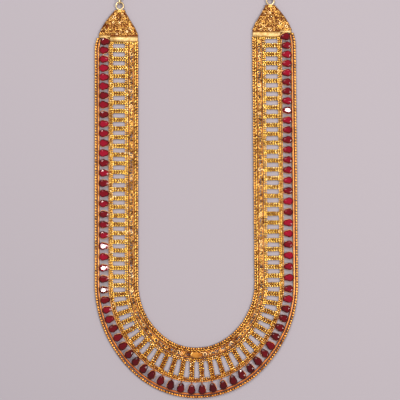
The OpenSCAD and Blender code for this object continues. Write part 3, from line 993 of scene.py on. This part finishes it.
def makeBosses(middle):
    # plain domes in the lace: an oval one in the middle of the bow, a round one below each bar
    boss = dict(
        ovalLength=7.6, ovalWidth=4.1, round=2.9, roundUp=-3.4, around=28,
        # share of the size, height
        rings=((0.9, 0.15), (1.0, 0.5), (1.0, 1.35), (0.95, 1.62), (0.82, 1.74), (0.45, 1.79), (0.12, 1.8)),
    )
    lowest = bowAngle(1, 2)
    places = [(bowPoint(middle, lowest), lowest + math.pi / 2, boss["ovalLength"], boss["ovalWidth"])]
    for side in sides:
        places.append((sidePoint(side, halfOf(middle), boss["roundUp"]), 0, boss["round"], boss["round"]))
    angles = turnsRound(boss["around"])

    def build(bm):
        for centre, turn, length, width in places:
            loops = []
            for share, z in boss["rings"]:
                x, y = length / 2 * share, width / 2 * share
                spots = [spun(x * math.cos(a), y * math.sin(a), turn) for a in angles]
                loops.append(addVerts(bm, [centre + Vector((spot.x, spot.y, z)) for spot in spots]))
            addLoft(bm, loops)

    finishPieces("lace_gold", "lace_strip", solidObject("laceBosses", build, "boss"))


# End plates: a pointed plate under rows of florets, a pale bar, and the ring at the tip.
# Places on a plate are (across from the neck's edge, up from the top of the run).
plate = dict(
    innerFlank=[(0, 4.2), (1.9, 8.5), (5.1, 13.6), (8.1, 18.8), (8.5, 20.4)],
    outerFlank=[(25.4, 4.2), (23.5, 8.5), (21.0, 12.5), (17.9, 16.5), (14.4, 20.4)],
    foot=[(0, 2.85), (25.4, 2.85)], thickness=1.1, bevel=0.3, bevelSteps=3,
    work=dict(sizeSpread=0.10, turnSpread=1.5, placeSpread=0.2, tiltSpread=0.15, shuffle=True),
    workUp=(4.6, 19.8), workRise=1.85, workPitch=2.1, workInset=1.15, workZ=1.35,
    grains=dict(sizeSpread=0.25, placeSpread=0.2),
    grainShift=0.95,  # across and up from each floret
    grainInset=0.8, grainZ=1.3,
    edge=dict(strand=0.6, twistRadius=0.28, twistPitch=1.6), edgeInset=0.35, edgeZ=1.2,
    bars=((0.0, 18.2, 1.35, 2.0), (17.9, 25.4, 3.1, 0.9)),  # from, to, up, half of the width
    barThickness=2.1, barSides=16, barTaper=0.35,
    barEnd=0.72,  # size at the ends
    lowerGrains=dict(size=1.3, pitch=1.4, sizeSpread=0.1),  # along the bar's lower edge
    lowerGrainRow=[(0.5, -1.15), (17.5, -1.15)], lowerGrainZ=1.0,
    ring=(11.75, 22.9), ringRadius=2.42, ringWire=0.9, ringZ=1.75, ringSteps=48, ringSides=12,
    tongue=[(10.25, 18.6), (13.25, 18.6), (12.95, 20.9), (10.55, 20.9)],
    tongueThickness=2.0, tongueBevel=0.4,
    hood=[  # with the height above the ground
        (25.3, 1.2, 0.6), (24.9, 2.3, 1.4), (23.6, 2.7, 1.7),
        (21.5, 2.6, 1.7), (19.6, 1.9, 1.6), (18.3, 0.8, 1.3),
    ],
    hoodWire=dict(thickness=1.0, sides=8, step=0.6),
    seeds=dict(left=51, right=52), barGrainSeed=10, grainSeed=20,  # the last two are added to the side's
)


def flankAt(flank, up):
    for (lowAcross, lowUp), (highAcross, highUp) in zip(flank, flank[1:]):
        if up <= highUp:
            share = max(0.0, (up - lowUp) / (highUp - lowUp))
            return lowAcross + (highAcross - lowAcross) * share
    return flank[-1][0]


def platePoint(side, across, up, z=0.0):
    return sidePoint(side, neckEdge + across, up, z)


def slabObject(name, side, outline, thickness, bevel):
    points = [platePoint(side, *spot) for spot in outline]

    def build(bm):
        addLoft(bm, [addVerts(bm, [(p.x, p.y, z) for p in points]) for z in (0, thickness)])

    obj = solidObject(name, build, "plate", smooth=False)
    modifier = obj.modifiers.new("softEdges", "BEVEL")
    modifier.width = bevel * mm
    modifier.segments = plate["bevelSteps"]
    modifier.limit_method = "ANGLE"
    return settled(obj)


def barSolids(bm, side):
    # half-round lengths, each from one place across the plate to another
    taper = plate["barTaper"]
    angles = turnsRound(plate["barSides"])
    for start, stop, up, halfWidth in plate["bars"]:
        sections = []
        for across in (start, start + taper, stop - taper, stop):
            size = 1.0 if start < across < stop else plate["barEnd"]
            heights = [plate["barThickness"] / 2 * (1 + size * math.sin(a)) for a in angles]
            ups = [up + halfWidth * size * math.cos(a) for a in angles]
            sections.append(addVerts(bm, [platePoint(side, across, u, z) for u, z in zip(ups, heights)]))
        addLoft(bm, sections)


def plateWork(side):
    # florets in rows over the plate, and grains between them
    florets, grains = [], []
    inner, outer = plate["innerFlank"], plate["outerFlank"]
    inset, shift, grainInset = plate["workInset"], plate["grainShift"], plate["grainInset"]
    (up, highest), row = plate["workUp"], 0
    while up < highest:
        low, high = flankAt(inner, up) + inset, flankAt(outer, up) - inset
        count = max(1, round((high - low) / plate["workPitch"]))
        for i in range(count + 1):
            share = (i + (0.5 if row % 2 else 0)) / count
            if share > 1:
                continue
            across = low + (high - low) * share
            florets.append((platePoint(side, across, up, plate["workZ"]), sideTurn(side) + i))
            left = flankAt(inner, up + shift) + grainInset
            if left < across + shift < flankAt(outer, up + shift) - grainInset:
                grains.append((platePoint(side, across + shift, up + shift, plate["grainZ"]), 0))
        row, up = row + 1, up + plate["workRise"]
    return florets, grains


def makeEndPlate(side):
    end, seed = side.title(), plate["seeds"][side]
    outline = plate["foot"] + plate["outerFlank"] + plate["innerFlank"][::-1]
    base = slabObject(f"plateBase{end}", side, outline, plate["thickness"], plate["bevel"])
    work, between = plateWork(side)
    look = dict(pieces=plateBox, seed=seed, **plate["work"])
    florets = make("places", f"plateFlorets{end}", work, "plate", **look)
    look = dict(seed=seed + plate["grainSeed"], **plate["grains"])
    grains = make("places", f"plateGrains{end}", between, "plate", **look)
    flanks = [
        [platePoint(side, across + inset, up, plate["edgeZ"]) for across, up in plate[flank]]
        for flank, inset in (("innerFlank", plate["edgeInset"]), ("outerFlank", -plate["edgeInset"]))
    ]
    edges = make("rope", f"plateEdge{end}", flanks, "plate", **plate["edge"])
    bar = solidObject(f"plateBar{end}", lambda bm: barSolids(bm, side), "bar")
    edgeRow = [platePoint(side, *spot, plate["lowerGrainZ"]) for spot in plate["lowerGrainRow"]]
    look = dict(seed=seed + plate["barGrainSeed"], **plate["lowerGrains"])
    barGrains = make("rows", f"barGrains{end}", [edgeRow], "rung", **look)
    centre = platePoint(side, *plate["ring"], plate["ringZ"])
    ringPoints = arcPoints(plate["ringRadius"], centre.z, plate["ringSteps"], centre=centre)
    tube = ringPoints, plate["ringWire"] / 2, plate["ringSides"]
    ring = solidObject(f"tipRing{end}", lambda bm: addTube(bm, *tube, closed=True), "chain")
    tongueLook = plate["tongue"], plate["tongueThickness"], plate["tongueBevel"]
    tongue = slabObject(f"tipTongue{end}", side, *tongueLook)
    hoodPath = [platePoint(side, *spot) for spot in plate["hood"]]
    hood = make("wire", f"stoneHood{end}", [hoodPath], "bar", **plate["hoodWire"])
    made = (base, florets, grains, edges, bar, barGrains, hood, ring, tongue)
    finishPieces("plate_gold", f"end_plate_{side}", *made)


makeOuterBorder()
makeInnerBorder()
makeStones()
makeGallery()
makeLadder()
makeLace()
for side in sides:
    makeEndPlate(side)
for name in ("back_chain_left", "back_chain_right", "barrel_clasp"):
    for place in frame["nodes"][name].material_slots:
        place.material = materials["chain"]
for collection in shelf:
    for obj in list(collection.objects):
        bpy.data.objects.remove(obj)
    bpy.data.collections.remove(collection)
print("stage: pieces made")


# Floor, light and camera
studio = dict(
    # the floor, the clip and the lights' places and sizes are in metres
    floorColour=(0.308, 0.276, 0.306), floorRoughness=0.75, floorHalf=4.0, floorZ=-0.00002,
    clip=(0.01, 20), world=(0.90, 0.90, 0.93), worldStrength=0.62,
    # softboxes that face the origin: place, size, power, colour; the last two are small ones
    # that a few of the stones throw back from their tables
    lights=dict(
        keyLight=((-0.15, 0.60, 0.98), (0.80, 0.50), 6.5, (1.0, 0.98, 0.94)),
        glintLight=((-0.35, 0.70, 0.85), (0.14, 0.14), 3, (1.0, 0.97, 0.90)),
        sideLight=((0.56, -0.16, 0.82), (0.30, 0.30), 6, (1.0, 0.93, 0.85)),
        tableLight=((-0.228, -0.170, 0.98), (0.085, 0.085), 1.2, (1, 1, 1)),
        starLight=((0.240, 0.212, 0.98), (0.055, 0.055), 0.7, (1, 1, 1)),
    ),
    target=(2.35, -25.75),  # the middle of the picture
    field=260.0, lens=100.0, sensor=36.0,
)


def makeFloor():
    mesh = bpy.data.meshes.new("floor")
    half, z = studio["floorHalf"], studio["floorZ"]
    corners = [(x * half, y * half, z) for x, y in ((-1, -1), (1, -1), (1, 1), (-1, 1))]
    mesh.from_pydata(corners, [], [(0, 1, 2, 3)])
    floor = linked("floor", mesh)
    material, tree, shader = newMaterial("paleFloor")
    surface = {"Base Color": (*studio["floorColour"], 1), "Roughness": studio["floorRoughness"]}
    setInputs(tree, shader, surface)
    mesh.materials.append(material)


def makeLights():
    world = bpy.data.worlds.new("studio")
    world.use_nodes = True
    sky = {"Color": (*studio["world"], 1), "Strength": studio["worldStrength"]}
    setInputs(world.node_tree, world.node_tree.nodes["Background"], sky)
    bpy.context.scene.world = world
    for name, (position, size, power, colour) in studio["lights"].items():
        light = bpy.data.lights.new(name, "AREA")
        light.shape = "RECTANGLE"
        light.size, light.size_y = size
        light.energy = power
        light.color = colour
        obj = linked(name, light)
        obj.location = position
        obj.rotation_euler = (-Vector(position)).to_track_quat("-Z", "Y").to_euler()


def makeCamera():
    camera = bpy.data.cameras.new("camera")
    camera.lens = studio["lens"]
    camera.sensor_width = studio["sensor"]
    camera.clip_start, camera.clip_end = studio["clip"]
    half = math.atan(studio["sensor"] / 2 / studio["lens"])
    x, y = studio["target"]
    obj = linked("camera", camera)
    obj.location = (x * mm, y * mm, studio["field"] / 2 * mm / math.tan(half))
    bpy.context.scene.camera = obj


makeFloor()
makeLights()
makeCamera()
bpy.context.scene.view_settings.view_transform = "Standard"
print("stage: studio set")
